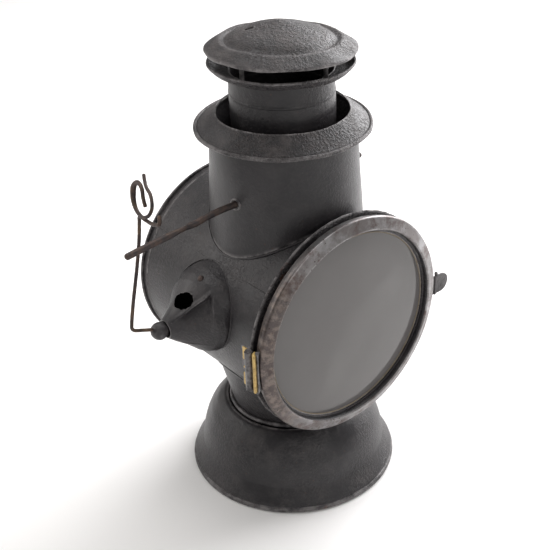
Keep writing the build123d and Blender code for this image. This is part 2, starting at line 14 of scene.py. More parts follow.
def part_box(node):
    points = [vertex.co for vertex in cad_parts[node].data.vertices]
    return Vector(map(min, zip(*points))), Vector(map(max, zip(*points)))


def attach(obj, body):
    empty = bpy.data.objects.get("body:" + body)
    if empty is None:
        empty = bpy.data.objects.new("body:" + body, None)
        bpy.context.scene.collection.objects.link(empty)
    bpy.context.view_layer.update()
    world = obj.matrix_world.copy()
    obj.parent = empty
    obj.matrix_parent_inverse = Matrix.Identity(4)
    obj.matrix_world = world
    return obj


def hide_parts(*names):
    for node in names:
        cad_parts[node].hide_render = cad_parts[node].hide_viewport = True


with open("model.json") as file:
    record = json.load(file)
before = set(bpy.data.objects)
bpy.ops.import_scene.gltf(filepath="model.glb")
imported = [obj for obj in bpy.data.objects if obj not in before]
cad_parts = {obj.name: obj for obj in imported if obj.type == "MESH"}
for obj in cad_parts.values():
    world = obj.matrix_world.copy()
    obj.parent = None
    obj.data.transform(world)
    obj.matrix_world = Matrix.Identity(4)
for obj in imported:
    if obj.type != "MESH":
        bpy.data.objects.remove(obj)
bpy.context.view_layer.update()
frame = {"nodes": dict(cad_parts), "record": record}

MM = 0.001
TURNS = 240  # steps round a spun piece


# ---- camera, light and floor ---------------------------------------------------------------------

CAMERA_PLACE = Vector((0.5834, -0.4736, 0.6180))
CAMERA_AZIMUTH = math.radians(141.682)  # heading of the view, from +X
CAMERA_DIP = math.radians(30.991)
CAMERA_ROLL = math.radians(-2.177)
LENS_MM = 75.3

WORLD_STRENGTH = 0.33
FLOOR_REACH = 4.0
FLOOR_GAP = 0.0002  # keeps the floor clear of the foot's underside


def make_camera():
    data = bpy.data.cameras.new("view_camera")
    data.lens = LENS_MM
    data.sensor_width = 36.0
    data.clip_start = 0.02
    camera = bpy.data.objects.new("view_camera", data)
    bpy.context.scene.collection.objects.link(camera)
    level = math.cos(CAMERA_DIP)
    forward = Vector(
        (level * math.cos(CAMERA_AZIMUTH), level * math.sin(CAMERA_AZIMUTH), -math.sin(CAMERA_DIP))
    )
    right = forward.cross(Vector((0, 0, 1))).normalized()
    up = right.cross(forward)
    right, up = (
        right * math.cos(CAMERA_ROLL) + up * math.sin(CAMERA_ROLL),
        up * math.cos(CAMERA_ROLL) - right * math.sin(CAMERA_ROLL),
    )
    turn = Matrix((right, up, -forward)).transposed().to_4x4()
    camera.matrix_world = Matrix.Translation(CAMERA_PLACE) @ turn
    bpy.context.scene.camera = camera


def soft_light(name, place, aim, wide, high, watts, colour=(1, 1, 1)):
    data = bpy.data.lights.new(name, "AREA")
    data.shape = "RECTANGLE"
    data.size = wide
    data.size_y = high
    data.energy = watts
    data.color = colour
    light = bpy.data.objects.new(name, data)
    bpy.context.scene.collection.objects.link(light)
    light.location = place
    light.rotation_euler = (Vector(aim) - Vector(place)).to_track_quat("-Z", "Y").to_euler()


def make_studio():
    world = bpy.data.worlds.new("studio")
    bpy.context.scene.world = world
    world.use_nodes = True
    background = world.node_tree.nodes["Background"]
    background.inputs["Color"].default_value = (1.0, 0.985, 0.97, 1)
    background.inputs["Strength"].default_value = WORLD_STRENGTH
    bpy.context.scene.view_settings.view_transform = "Standard"
    middle = (0, 0, 0.18)
    soft_light("window_right", (-0.15, 1.25, 0.75), middle, 1.3, 1.1, 34, (1.0, 0.99, 1.0))
    soft_light("window_left", (-0.95, -0.75, 0.75), middle, 0.9, 0.9, 5, (1.0, 0.97, 0.94))
    soft_light("ceiling", (-0.25, 0.15, 1.7), middle, 1.4, 1.4, 15, (1.0, 0.985, 0.97))
    soft_light("room_front", (1.7, -0.2, 0.9), middle, 0.5, 0.5, 4, (1.0, 0.98, 0.96))

    mesh = bpy.data.meshes.new("floor")
    reach = FLOOR_REACH
    mesh.from_pydata(
        [(-reach, -reach, 0), (reach, -reach, 0), (reach, reach, 0), (-reach, reach, 0)],
        [],
        [(0, 1, 2, 3)],
    )
    floor = bpy.data.objects.new("floor", mesh)
    bpy.context.scene.collection.objects.link(floor)
    floor.location.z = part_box("base_foot")[0].z - FLOOR_GAP
    paper = bpy.data.materials.new("pale_floor")
    paper.use_nodes = True
    shader = paper.node_tree.nodes["Principled BSDF"]
    shader.inputs["Base Color"].default_value = (0.93, 0.925, 0.92, 1)
    shader.inputs["Roughness"].default_value = 0.9
    mesh.materials.append(paper)


# ---- node materials ------------------------------------------------------------------------------


class Finish:
    """A node material: short names for the few nodes that the finishes need."""

    def __init__(self, name):
        self.material = bpy.data.materials.new(name)
        self.material.use_nodes = True
        self.tree = self.material.node_tree
        self.shader = self.tree.nodes["Principled BSDF"]
        self.place = self.tree.nodes.new("ShaderNodeTexCoord").outputs["Object"]

    def put(self, socket, value):
        if isinstance(value, bpy.types.NodeSocket):
            self.tree.links.new(value, socket)
        else:
            socket.default_value = value

    def stretched(self, scale, turn=(0, 0, 0)):
        """Object space scaled along its axes, so that noise comes out as streaks."""
        node = self.tree.nodes.new("ShaderNodeMapping")
        self.put(node.inputs["Vector"], self.place)
        node.inputs["Rotation"].default_value = turn
        node.inputs["Scale"].default_value = scale
        return node.outputs["Vector"]

    def noise(self, size_mm, detail=4.0, rough=0.55, twist=0.0, where=None, seed=0.0):
        """Cloud noise from 0 to 1 whose blotches are about size_mm across."""
        node = self.tree.nodes.new("ShaderNodeTexNoise")
        node.noise_dimensions = "4D"
        self.put(node.inputs["Vector"], where or self.place)
        node.inputs["W"].default_value = seed
        node.inputs["Scale"].default_value = 1.0 / (size_mm * MM)
        node.inputs["Detail"].default_value = detail
        node.inputs["Roughness"].default_value = rough
        node.inputs["Distortion"].default_value = twist
        return node.outputs["Fac"]

    def cells(self, size_mm):
        """Distance to the nearest of points about size_mm apart."""
        node = self.tree.nodes.new("ShaderNodeTexVoronoi")
        self.put(node.inputs["Vector"], self.place)
        node.inputs["Scale"].default_value = 1.0 / (size_mm * MM)
        return node.outputs["Distance"]

    def band(self, value, low, high):
        """0 below low, 1 above high, smooth between; low above high turns it over."""
        node = self.tree.nodes.new("ShaderNodeMapRange")
        node.interpolation_type = "SMOOTHSTEP"
        flip = low > high
        self.put(node.inputs["Value"], value)
        node.inputs["From Min"].default_value = min(low, high)
        node.inputs["From Max"].default_value = max(low, high)
        node.inputs["To Min"].default_value = 1.0 if flip else 0.0
        node.inputs["To Max"].default_value = 0.0 if flip else 1.0
        return node.outputs["Result"]

    def maths(self, what, a, b=0.0):
        node = self.tree.nodes.new("ShaderNodeMath")
        node.operation = what
        self.put(node.inputs[0], a)
        self.put(node.inputs[1], b)
        return node.outputs[0]

    def mix(self, amount, a, b):
        """Colour a where amount is 0, colour b where it is 1."""
        node = self.tree.nodes.new("ShaderNodeMix")
        node.data_type = "RGBA"
        self.put(node.inputs[0], amount)
        for socket, colour in ((node.inputs[6], a), (node.inputs[7], b)):
            self.put(socket, (*colour, 1.0) if isinstance(colour, tuple) else colour)
        return node.outputs[2]

    def axis(self, letter):
        node = self.tree.nodes.new("ShaderNodeSeparateXYZ")
        self.put(node.inputs[0], self.place)
        return node.outputs[letter]

    def facing_up(self):
        geometry = self.tree.nodes.new("ShaderNodeNewGeometry")
        node = self.tree.nodes.new("ShaderNodeSeparateXYZ")
        self.put(node.inputs[0], geometry.outputs["Normal"])
        return node.outputs["Z"]

    def edges(self, low=0.51, high=0.56):
        geometry = self.tree.nodes.new("ShaderNodeNewGeometry")
        return self.band(geometry.outputs["Pointiness"], low, high)

    def bump(self, height, depth_mm, under=None):
        node = self.tree.nodes.new("ShaderNodeBump")
        node.inputs["Distance"].default_value = depth_mm * MM
        self.put(node.inputs["Height"], height)
        if under is not None:
            self.put(node.inputs["Normal"], under)
        return node.outputs["Normal"]

    def done(self, colour=None, metal=None, rough=None, normal=None):
        for name, value in (
            ("Base Color", colour),
            ("Metallic", metal),
            ("Roughness", rough),
            ("Normal", normal),
        ):
            if value is not None:
                self.put(self.shader.inputs[name], value)
        return self.material


BLACK = (0.0115, 0.0105, 0.0125)
FADED = (0.027, 0.0245, 0.027)
DUST = (0.13, 0.115, 0.112)
RUST_DARK = (0.060, 0.026, 0.018)
RUST_BROWN = (0.165, 0.068, 0.036)
RUST_ORANGE = (0.42, 0.16, 0.055)
BARE_TIN = (0.36, 0.34, 0.34)
CRUST = (0.085, 0.072, 0.072)
TIN_BRIGHT = (0.34, 0.335, 0.34)
TIN_DULL = (0.16, 0.145, 0.143)
TIN_STAIN = (0.085, 0.052, 0.045)
TIN_SPOT = (0.05, 0.035, 0.03)
TIN_RUST_DARK = (0.060, 0.045, 0.042)
TIN_RUST_PALE = (0.17, 0.135, 0.115)
BRASS_BRIGHT = (0.60, 0.42, 0.15)
BRASS_DULL = (0.30, 0.19, 0.065)
BRASS_STAIN = (0.045, 0.03, 0.028)
IRON_GREY = (0.062, 0.055, 0.056)
IRON_BROWN = (0.095, 0.066, 0.056)
IRON_OXIDE = (0.17, 0.115, 0.075)
IRON_PIT = (0.045, 0.03, 0.027)
HAZE_DARK = (0.150, 0.143, 0.141)
HAZE_PALE = (0.180, 0.171, 0.168)
HAZE_SHARE = 0.78  # least part of the glass hidden by haze


def paint(
    name, dusty=0.3, rusty=0.3, scratched=0.3, seed=0.0,
    rust_zone=None, dull=0.0, crust=0.1, worn_part=0.6,
):
    """Old black paint: faded blotches, dust on upward faces, scratches, chips and rust."""
    f = Finish(name)
    faded = f.band(f.noise(46, 6, 0.6, seed=seed), 0.38, 0.68)
    colour = f.mix(faded, BLACK, FADED)
    bloom = f.maths("MULTIPLY", f.band(f.noise(13, 8, 0.7, seed=seed + 3), 0.42, 0.72), dusty)
    up = f.band(f.facing_up(), -0.2, 0.9)
    bloom = f.maths("MULTIPLY", bloom, f.maths("ADD", f.maths("MULTIPLY", up, 0.8), 0.35))
    colour = f.mix(bloom, colour, DUST)

    lines = f.noise(2.2, 3, 0.6, where=f.stretched((1, 1, 0.10), turn=(0.5, 0.3, 0.2)), seed=seed)
    cross = f.noise(2.6, 3, 0.6, where=f.stretched((0.12, 0.9, 1.0), turn=(0.2, 0.7, 0.4)), seed=seed)
    scratch = f.maths("MAXIMUM", f.band(lines, 0.70, 0.76), f.band(cross, 0.71, 0.77))
    where = f.band(f.noise(30, 4, 0.6, seed=seed + 7), 0.45, 0.62)
    scratch = f.maths("MULTIPLY", f.maths("MULTIPLY", scratch, where), scratched)
    colour = f.mix(scratch, colour, DUST)

    worn = f.maths("MULTIPLY", f.edges(), f.band(f.noise(9, 5, 0.65, seed=seed + 1), 0.35, 0.62))
    colour = f.mix(f.maths("MULTIPLY", worn, worn_part), colour, BARE_TIN)

    patch = f.noise(21, 9, 0.68, 0.4, seed=seed + 5)
    if rust_zone is not None:
        patch = f.maths("ADD", patch, rust_zone(f))
    rust = f.band(patch, 0.78 - 0.22 * rusty, 0.86 - 0.22 * rusty)
    grain = f.noise(2.4, 6, 0.7, seed=seed + 9)
    rust_colour = f.mix(f.band(grain, 0.35, 0.62), RUST_DARK, RUST_BROWN)
    rust_colour = f.mix(f.band(f.noise(6, 6, 0.7, seed=seed + 2), 0.56, 0.70), rust_colour, RUST_ORANGE)
    colour = f.mix(f.maths("MULTIPLY", rust, 0.85), colour, rust_colour)

    speck = f.band(f.cells(5.5), 0.16, 0.09)
    speck = f.maths("MULTIPLY", speck, f.band(f.noise(18, 4, 0.6, seed=seed + 4), 0.52, 0.64))
    colour = f.mix(f.maths("MULTIPLY", speck, 0.6), colour, RUST_DARK)

    rough = f.maths("ADD", f.maths("MULTIPLY", f.noise(24, 6, 0.65, seed=seed + 6), 0.26), 0.27 + dull)
    rough = f.maths("ADD", rough, f.maths("MULTIPLY", bloom, 0.35))
    rough = f.maths("ADD", rough, f.maths("MULTIPLY", rust, 0.40))
    skin = f.bump(f.noise(1.1, 4, 0.6, seed=seed), 0.035)
    skin = f.bump(f.noise(7, 4, 0.55, seed=seed + 8), 0.16, skin)
    pits = f.maths("ADD", f.maths("MULTIPLY", f.maths("MULTIPLY", rust, grain), 0.9), scratch)
    skin = f.bump(pits, 0.22, skin)
    scab = f.band(f.noise(1.9, 3, 0.65, seed=seed + 11), 0.42, 0.66)
    zone = f.band(f.noise(34, 3, 0.5, seed=seed + 12), 0.36, 0.60)
    scab = f.maths("MULTIPLY", scab, f.maths("ADD", f.maths("MULTIPLY", zone, 0.8), 0.2))
    skin = f.bump(f.maths("MULTIPLY", scab, crust), 3.2, skin)
    colour = f.mix(f.maths("MULTIPLY", scab, min(0.7, crust * 2.2)), colour, CRUST)
    return f.done(colour, None, rough, skin)


def tarnished_tin(name):
    """Tin plate gone grey and brown, with its shine left in places."""
    f = Finish(name)
    blotch = f.noise(17, 8, 0.66, 0.3)
    colour = f.mix(f.band(blotch, 0.36, 0.60), TIN_BRIGHT, TIN_DULL)
    colour = f.mix(
        f.maths("MULTIPLY", f.band(f.noise(9, 8, 0.7, seed=4), 0.50, 0.64), 0.75),
        colour,
        TIN_STAIN,
    )
    spots = f.band(f.cells(3.2), 0.20, 0.10)
    spots = f.maths("MULTIPLY", spots, f.band(f.noise(14, 3, 0.5, seed=2), 0.48, 0.60))
    colour = f.mix(spots, colour, TIN_SPOT)
    side = f.maths("ADD", f.maths("MULTIPLY", f.axis("Y"), 9.0), f.maths("MULTIPLY", blotch, 0.9))
    brown = f.band(side, 0.12, -0.28)
    streak = f.noise(4.5, 6, 0.65, where=f.stretched((0.35, 1, 1)), seed=8)
    rusty = f.mix(f.band(streak, 0.42, 0.62), TIN_RUST_DARK, TIN_RUST_PALE)
    colour = f.mix(f.maths("MULTIPLY", brown, 0.88), colour, rusty)
    rough = f.maths("ADD", f.maths("MULTIPLY", f.noise(12, 6, 0.7, seed=6), 0.4), 0.16)
    rough = f.maths("ADD", rough, f.maths("MULTIPLY", spots, 0.3))
    skin = f.bump(f.noise(0.8, 3, 0.6), 0.02)
    skin = f.bump(f.noise(10, 5, 0.6, seed=1), 0.2, skin)
    return f.done(colour, f.band(blotch, 0.95, 0.2), rough, skin)


def old_brass(name, dark=0.5):
    """Brass gone dull, with dark stains."""
    f = Finish(name)
    stain = f.noise(6, 8, 0.7, 0.5)
    colour = f.mix(f.band(stain, 0.46, 0.70), BRASS_BRIGHT, BRASS_DULL)
    colour = f.mix(
        f.maths("MULTIPLY", f.band(f.noise(4, 8, 0.7, seed=3), 0.54, 0.66), dark),
        colour,
        BRASS_STAIN,
    )
    rough = f.maths("ADD", f.maths("MULTIPLY", stain, 0.35), 0.25)
    skin = f.bump(f.noise(1.0, 4, 0.6), 0.05)
    return f.done(colour, 0.3, rough, skin)


def rusty_iron(name, seed=0.0, warm=0.5):
    """Thin iron bar or wire: brown oxide over grey metal."""
    f = Finish(name)
    scale = f.noise(7, 8, 0.68, 0.3, seed=seed)
    colour = f.mix(f.band(scale, 0.40, 0.62), IRON_GREY, IRON_BROWN)
    colour = f.mix(
        f.maths("MULTIPLY", f.band(f.noise(16, 6, 0.6, seed=seed + 2), 0.50, 0.66), warm),
        colour,
        IRON_OXIDE,
    )
    colour = f.mix(f.band(f.noise(2.0, 5, 0.7, seed=seed + 4), 0.60, 0.72), colour, IRON_PIT)
    rough = f.maths("ADD", f.maths("MULTIPLY", scale, 0.4), 0.32)
    skin = f.bump(f.noise(1.4, 6, 0.7, seed=seed), 0.16)
    return f.done(colour, f.band(scale, 1.0, 0.2), rough, skin)


def lens_material():
    """Old pressed glass under a heavy grey haze, so that little shows through."""
    f = Finish("old_glass")
    tree = f.tree
    clear = tree.nodes.new("ShaderNodeBsdfTransparent")
    clear.inputs["Color"].default_value = (0.93, 0.94, 0.93, 1)
    haze = tree.nodes.new("ShaderNodeBsdfDiffuse")
    f.put(haze.inputs["Color"], f.mix(f.noise(40, 6, 0.6), HAZE_DARK, HAZE_PALE))
    body = tree.nodes.new("ShaderNodeMixShader")
    grime = f.maths("ADD", f.maths("MULTIPLY", f.noise(34, 6, 0.6, seed=2), 0.10), HAZE_SHARE)
    f.put(body.inputs[0], grime)
    tree.links.new(clear.outputs[0], body.inputs[1])
    tree.links.new(haze.outputs[0], body.inputs[2])
    gloss = tree.nodes.new("ShaderNodeBsdfGlossy")
    gloss.inputs["Roughness"].default_value = 0.03
    fresnel = tree.nodes.new("ShaderNodeFresnel")
    fresnel.inputs["IOR"].default_value = 1.5
    out = tree.nodes.new("ShaderNodeMixShader")
    tree.links.new(fresnel.outputs[0], out.inputs[0])
    tree.links.new(body.outputs[0], out.inputs[1])
    tree.links.new(gloss.outputs[0], out.inputs[2])
    tree.links.new(out.outputs[0], tree.nodes["Material Output"].inputs["Surface"])
    tree.nodes.remove(f.shader)
    return f.material


def silvered(name):
    """Tin plate inside the lamp: dull, with soft stains."""
    f = Finish(name)
    stain = f.noise(22, 7, 0.62, 0.3)
    colour = f.mix(f.band(stain, 0.40, 0.66), (0.42, 0.40, 0.385), (0.22, 0.20, 0.19))
    rough = f.maths("ADD", f.maths("MULTIPLY", stain, 0.25), 0.52)
    return f.done(colour, 0.6, rough, f.bump(f.noise(9, 4, 0.5, seed=1), 0.15))


def cotton(name):
    """Woven wick, burnt black at its top."""
    f = Finish(name)
    weave = f.tree.nodes.new("ShaderNodeTexWave")
    f.put(weave.inputs["Vector"], f.place)
    weave.bands_direction = "Z"
    weave.inputs["Scale"].default_value = 260
    colour = f.mix(weave.outputs["Fac"], (0.40, 0.35, 0.26), (0.62, 0.57, 0.46))
    burnt = f.band(f.axis("Z"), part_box("wick")[1].z - 6 * MM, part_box("wick")[1].z - 1 * MM)
    colour = f.mix(burnt, colour, (0.015, 0.012, 0.01))
    return f.done(colour, None, 0.9, f.bump(weave.outputs["Fac"], 0.3))


def felt(name, dark=(0.02, 0.017, 0.015), light=(0.06, 0.05, 0.043)):
    """Matt, fine-grained packing or putty."""
    f = Finish(name)
    colour = f.mix(f.noise(3, 6, 0.7), dark, light)
    return f.done(colour, None, 0.92, f.bump(f.noise(0.7, 5, 0.7), 0.15))


# ---- mesh making (lengths in millimetres) --------------------------------------------------------

DRUM_R = 77.0
DRUM_Z = 155.0
SHEET = 1.0


def mesh_piece(name, points, faces, body, material, crease=38.0):
    """A closed mesh made of millimetre points, smooth but for edges sharper than crease."""
    mesh = bpy.data.meshes.new(name)
    mesh.from_pydata([Vector(p) * MM for p in points], [], faces)
    shape = bmesh.new()
    shape.from_mesh(mesh)
    bmesh.ops.remove_doubles(shape, verts=shape.verts, dist=2e-6)
    bmesh.ops.recalc_face_normals(shape, faces=shape.faces)
    shape.to_mesh(mesh)
    shape.free()
    piece = bpy.data.objects.new(name, mesh)
    bpy.context.scene.collection.objects.link(piece)
    mesh.materials.append(material)
    shade(piece, crease)
    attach(piece, body)
    return piece


def shade(piece, crease=38.0):
    mesh = piece.data
    mesh.polygons.foreach_set("use_smooth", [True] * len(mesh.polygons))
    mesh.set_sharp_from_angle(angle=math.radians(crease))


def grid(rings, close_rows=False, caps=False):
    """Points and faces of rings joined one to the next; each ring is closed on itself."""
    count = len(rings[0])
    points = [p for ring in rings for p in ring]
    faces = []
    rows = len(rings) if close_rows else len(rings) - 1
    for i in range(rows):
        a, b = i * count, ((i + 1) % len(rings)) * count
        for j in range(count):
            k = (j + 1) % count
            faces.append((a + j, a + k, b + k, b + j))
    if caps:
        faces.append(tuple(reversed(range(count))))
        faces.append(tuple(range((len(rings) - 1) * count, len(rings) * count)))
    return points, faces


def softened(path, radius=1.2, steps=4):
    """A polyline with each inner corner bent round over radius."""
    path = [Vector(p) for p in path]
    out = [path[0]]
    for a, b, c in zip(path, path[1:], path[2:]):
        cut = min(radius, (b - a).length * 0.45, (c - b).length * 0.45)
        p, q = b + (a - b).normalized() * cut, b + (c - b).normalized() * cut
        for i in range(steps + 1):
            t = i / steps
            out.append(p * (1 - t) ** 2 + b * 2 * t * (1 - t) + q * t**2)
    out.append(path[-1])
    return out


def spaced(path, step):
    """The same polyline with extra points so that no piece of it is longer than step."""
    out = [path[0]]
    for a, b in zip(path, path[1:]):
        parts = max(1, math.ceil((b - a).length / step))
        out += [a.lerp(b, i / parts) for i in range(1, parts + 1)]
    return out


def plate_loop(path, thick=SHEET, radius=1.2, step=3.0):
    """Closed outline of bent sheet: one face follows path, the other lies to its left."""
    face = spaced(softened(path, radius), step)
    other = []
    for i, p in enumerate(face):
        before = (p - face[i - 1]).normalized() if i else None
        after = (face[i + 1] - p).normalized() if i + 1 < len(face) else None
        along = ((before or after) + (after or before)).normalized()
        left = Vector((-along.y, along.x))
        other.append(p + left * thick)
    ends = []
    for near, far, i in ((face[-1], other[-1], -1), (other[0], face[0], 0)):
        along = (face[-1] - face[-2]) if i else (face[0] - face[1])
        ends.append((near + far) / 2 + along.normalized() * thick * 0.35)
    return face + [ends[0]] + other[::-1] + [ends[1]]


def bead_loop(centre, radius, steps=10, wide=1.0, high=1.0):
    return [
        Vector(
            (
                centre[0] + radius * wide * math.cos(2 * math.pi * i / steps),
                centre[1] + radius * high * math.sin(2 * math.pi * i / steps),
            )
        )
        for i in range(steps)
    ]


def warp(amount, size, seed):
    """A gentle shift of every point, nearly the same for both faces of a sheet.

    seed only moves the place in the noise. noise_vector itself is not seeded, so the dents differ
    by up to about 1 mm from run to run, which is a known fault.
    """
    offset = Vector((seed * 17.3, seed * 5.7, seed * 11.1))

    def move(p):
        return p + noise.noise_vector(p / size + offset) * amount

    return move


def spun(name, loop, body, material, about="Z", bend=None, turns=TURNS, crease=38.0):
    """Carry a closed outline of (radius, height) round the upright axis or the drum's axis.

    loop may be a function of the angle, for a rim that follows the drum's side.
    """
    rings = []
    for i in range(turns):
        angle = 2 * math.pi * i / turns
        outline = loop(angle) if callable(loop) else loop
        ring = []
        for r, h in outline:
            if about == "Z":
                p = Vector((r * math.cos(angle), r * math.sin(angle), h))
            else:
                p = Vector((h, r * math.sin(angle), DRUM_Z + r * math.cos(angle)))
            ring.append(bend(p) if bend else p)
        rings.append(ring)
    return mesh_piece(name, *grid(rings, close_rows=True), body, material, crease)


def smooth_path(points, step=1.2):
    """A Catmull-Rom curve through the points."""
    points = [Vector(p) for p in points]
    ends = [points[0] * 2 - points[1], *points, points[-1] * 2 - points[-2]]
    out = []
    for a, b, c, d in zip(ends, ends[1:], ends[2:], ends[3:]):
        parts = max(2, math.ceil((c - b).length / step))
        for i in range(parts):
            t = i / parts
            out.append(
                0.5
                * (
                    2 * b
                    + (c - a) * t
                    + (2 * a - 5 * b + 4 * c - d) * t**2
                    + (3 * b - a - 3 * c + d) * t**3
                )
            )
    out.append(points[-1])
    return out


def rod(name, path, radius, body, material, sides=14, flat=None, rough=0.0):
    """Round bar along a path with domed ends; radius and flat may be functions of 0 to 1."""
    rings = []
    along = [(q - p).normalized() for p, q in zip(path, path[1:])]
    along.append(along[-1])
    across = along[0].orthogonal().normalized()
    total = len(path) - 1
    for i, (p, d) in enumerate(zip(path, along)):
        d = (along[max(0, i - 1)] + d).normalized()
        across = (across - d * across.dot(d)).normalized()
        other = d.cross(across)
        r = radius(i / total) if callable(radius) else radius
        squash = flat(i / total) if flat else 1.0
        ring = []
        for j in range(sides):
            angle = 2 * math.pi * j / sides
            v = across * math.cos(angle) / squash + other * math.sin(angle) * squash
            q = p + v * r
            if rough:
                q += v * noise.noise(q * 0.6) * rough
            ring.append(q)
        rings.append(ring)
    first, last = rings[0], rings[-1]
    for end, ring, d in ((0, first, -along[0]), (1, last, along[-1])):
        middle = sum(ring, Vector()) / sides
        r = (ring[0] - middle).length
        steps = [
            [middle + (q - middle) * math.cos(t) + d * r * math.sin(t) * 0.7 for q in ring]
            for t in (0.5, 1.0, 1.4)
        ]
        rings = rings + steps if end else steps[::-1] + rings
    return mesh_piece(name, *grid(rings, caps=True), body, material, 50)


def cut(piece, cutters, crease=38.0):
    """Take the cutters' shapes out of a piece and drop the cutters."""
    for cutter in cutters:
        change = piece.modifiers.new("cut", "BOOLEAN")
        change.operation = "DIFFERENCE"
        change.solver = "EXACT"
        change.object = cutter
    bpy.context.view_layer.update()
    shown = piece.evaluated_get(bpy.context.evaluated_depsgraph_get())
    mesh = bpy.data.meshes.new_from_object(shown)
    piece.modifiers.clear()
    old = piece.data
    piece.data = mesh
    mesh.name = piece.name
    bpy.data.meshes.remove(old)
    for cutter in cutters:
        bpy.data.objects.remove(cutter)
    shade(piece, crease)


def prism(outline, low, high, place):
    """Cutter with an outline of 2-D points, carried from low to high; place maps to 3-D."""
    rings = [[place(x, y, h) for x, y in outline] for h in (low, high)]
    points, faces = grid(rings, caps=True)
    mesh = bpy.data.meshes.new("cutter")
    mesh.from_pydata([Vector(p) * MM for p in points], [], faces)
    shape = bmesh.new()
    shape.from_mesh(mesh)
    bmesh.ops.recalc_face_normals(shape, faces=shape.faces)
    shape.to_mesh(mesh)
    shape.free()
    cutter = bpy.data.objects.new("cutter", mesh)
    bpy.context.scene.collection.objects.link(cutter)
    return cutter


def ragged(wide, high, turn, seed, steps=40, raw=0.16):
    """An uneven oval outline, like the edge of a rusted hole."""
    out = []
    for i in range(steps):
        angle = 2 * math.pi * i / steps
        x, y = wide * math.cos(angle), high * math.sin(angle)
        grow = 1 + raw * noise.noise(Vector((x * 0.35, y * 0.35, seed)))
        grow += raw * 0.6 * noise.noise(Vector((x * 1.1, y * 1.1, seed + 5)))
        x, y = x * grow, y * grow
        out.append(
            (x * math.cos(turn) - y * math.sin(turn), x * math.sin(turn) + y * math.cos(turn))
        )
    return out


# ---- finishes of the material slots --------------------------------------------------------------


def low_zone(top, depth, gain):
    return lambda f: f.maths("MULTIPLY", f.band(f.axis("Z"), top * MM, (top - depth) * MM), gain)


case_paint = paint("case_paint", 0.26, 0.25, 0.6, 1.0, crust=0.07)
neck_paint = paint("neck_paint", 0.22, 0.12, 0.6, 4.0, crust=0.03)
base_paint = paint("base_paint", 0.28, 0.30, 0.6, 2.0, low_zone(8, 7, 0.12), crust=0.08)
seam_paint = paint("seam_paint", 0.2, 0.3, 0.2, 11.0, crust=0.06, worn_part=0.05)
chimney_paint = paint("chimney_paint", 0.25, 0.2, 0.6, 9.0, crust=0.05)
top_paint = paint("top_paint", 0.6, 0.40, 0.5, 3.0, dull=0.04, crust=0.24)
rim_paint = paint("rim_paint", 0.55, 0.62, 0.7, 5.0, dull=0.05, crust=0.28)
flange_rust = paint("flange_rust", 0.3, 0.8, 0.6, 6.0, dull=0.12, crust=0.3)
inside_rust = paint("inside_rust", 0.1, 0.9, 0.1, 7.0, dull=0.2)
bezel_tin = tarnished_tin("bezel_tin")
lens_glass = lens_material()
gasket = felt("gasket")
brass = old_brass("brass", 0.4)
hinge_brass = old_brass("hinge_brass", 0.35)
putty_tan = felt("putty_tan", (0.16, 0.13, 0.095), (0.27, 0.225, 0.16))
iron = rusty_iron("rusty_iron", 0.0, 0.35)
wire_iron = rusty_iron("wire_iron", 3.0, 0.9)
tinplate = silvered("tinplate")
wick_cotton = cotton("wick_cotton")

CAD_FINISH = {
    "case_paint": case_paint,
    "base_paint": base_paint,
    "top_paint": top_paint,
    "bezel_tin": bezel_tin,
    "lens_glass": lens_glass,
    "gasket": gasket,
    "brass": brass,
    "rusty_iron": iron,
    "tinplate": tinplate,
    "wick_cotton": wick_cotton,
}


def finish_cad_nodes():
    """Every CAD node still shown gets case_paint, which is a known fault.

    The record names nodes in subparts and not in materials, so that slots stays empty and the
    other finishes of CAD_FINISH are never used.
    """
    slots = {}
    for entry in frame["record"]["materials"]:
        for node in entry.get("nodes", []):
            slots[node] = entry["slot"]
    for node, piece in frame["nodes"].items():
        name = slots.get(node, "case_paint")
        piece.data.materials.clear()
        piece.data.materials.append(CAD_FINISH[name])
        shade(piece, 30)


def swap(piece, slot_name, *nodes):
    """The piece stands for these CAD nodes, which are hidden; slot_name is not used."""
    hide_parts(*nodes)
    return piece


finish_cad_nodes()

# ---- base ----------------------------------------------------------------------------------------

FOOT_ROLL = (
    (79.4, 0.4), (80.2, 0.0), (81.4, 0.1), (82.2, 0.9), (82.4, 2.1), (82.0, 3.3),
    (81.2, 4.0), (80.3, 4.2), (79.2, 3.8), (78.8, 2.8), (78.7, 1.6),
)
base_foot = spun("foot_rolled", [Vector(p) for p in FOOT_ROLL], "case", base_paint)
swap(base_foot, "base_paint", "base_foot")

skirt_path = [
    (80.9, 3.4),
    (80.7, 6.2),
    (78.4, 9.6),
    (73.8, 18.2),
    (73.5, 19.8),
    (72.7, 25.5),
    (71.6, 31.0),
    (70.1, 36.5),
    (67.8, 42.0),
    (65.4, 46.8),
    (62.4, 50.6),
    (59.6, 54.0),
    (56.6, 56.2),
    (54.4, 57.6),
    (52.0, 58.0),
]
skirt = spun(
    "skirt_spun", plate_loop(skirt_path, radius=2.2, step=2.4), "case", base_paint,
    bend=warp(0.75, 38, 2),
)
swap(skirt, "base_paint", "base_skirt")

# ---- socket, drum and their solder ---------------------------------------------------------------


def drum_side_z(y, reach=DRUM_R):
    return math.sqrt(max(reach**2 - y**2, 0.0))


def sleeve(low, high, sign, inset=0.0, steps=34):
    """Outline of a tube that ends on the drum: rows from the free end down to the saddle."""

    def outline(angle):
        face = []
        for depth in (0.0, SHEET):
            y = (low[0] - depth) * math.sin(angle)
            end_z = DRUM_Z + sign * (drum_side_z(y) - inset)
            rows = []
            for i in range(steps + 1):
                z = high[1] + (end_z - high[1]) * i / steps
                t = (z - low[1]) / (high[1] - low[1])
                rows.append((low[0] + (high[0] - low[0]) * t - depth, z))
            face.append(rows)
        return face[0] + face[1][::-1]

    return outline


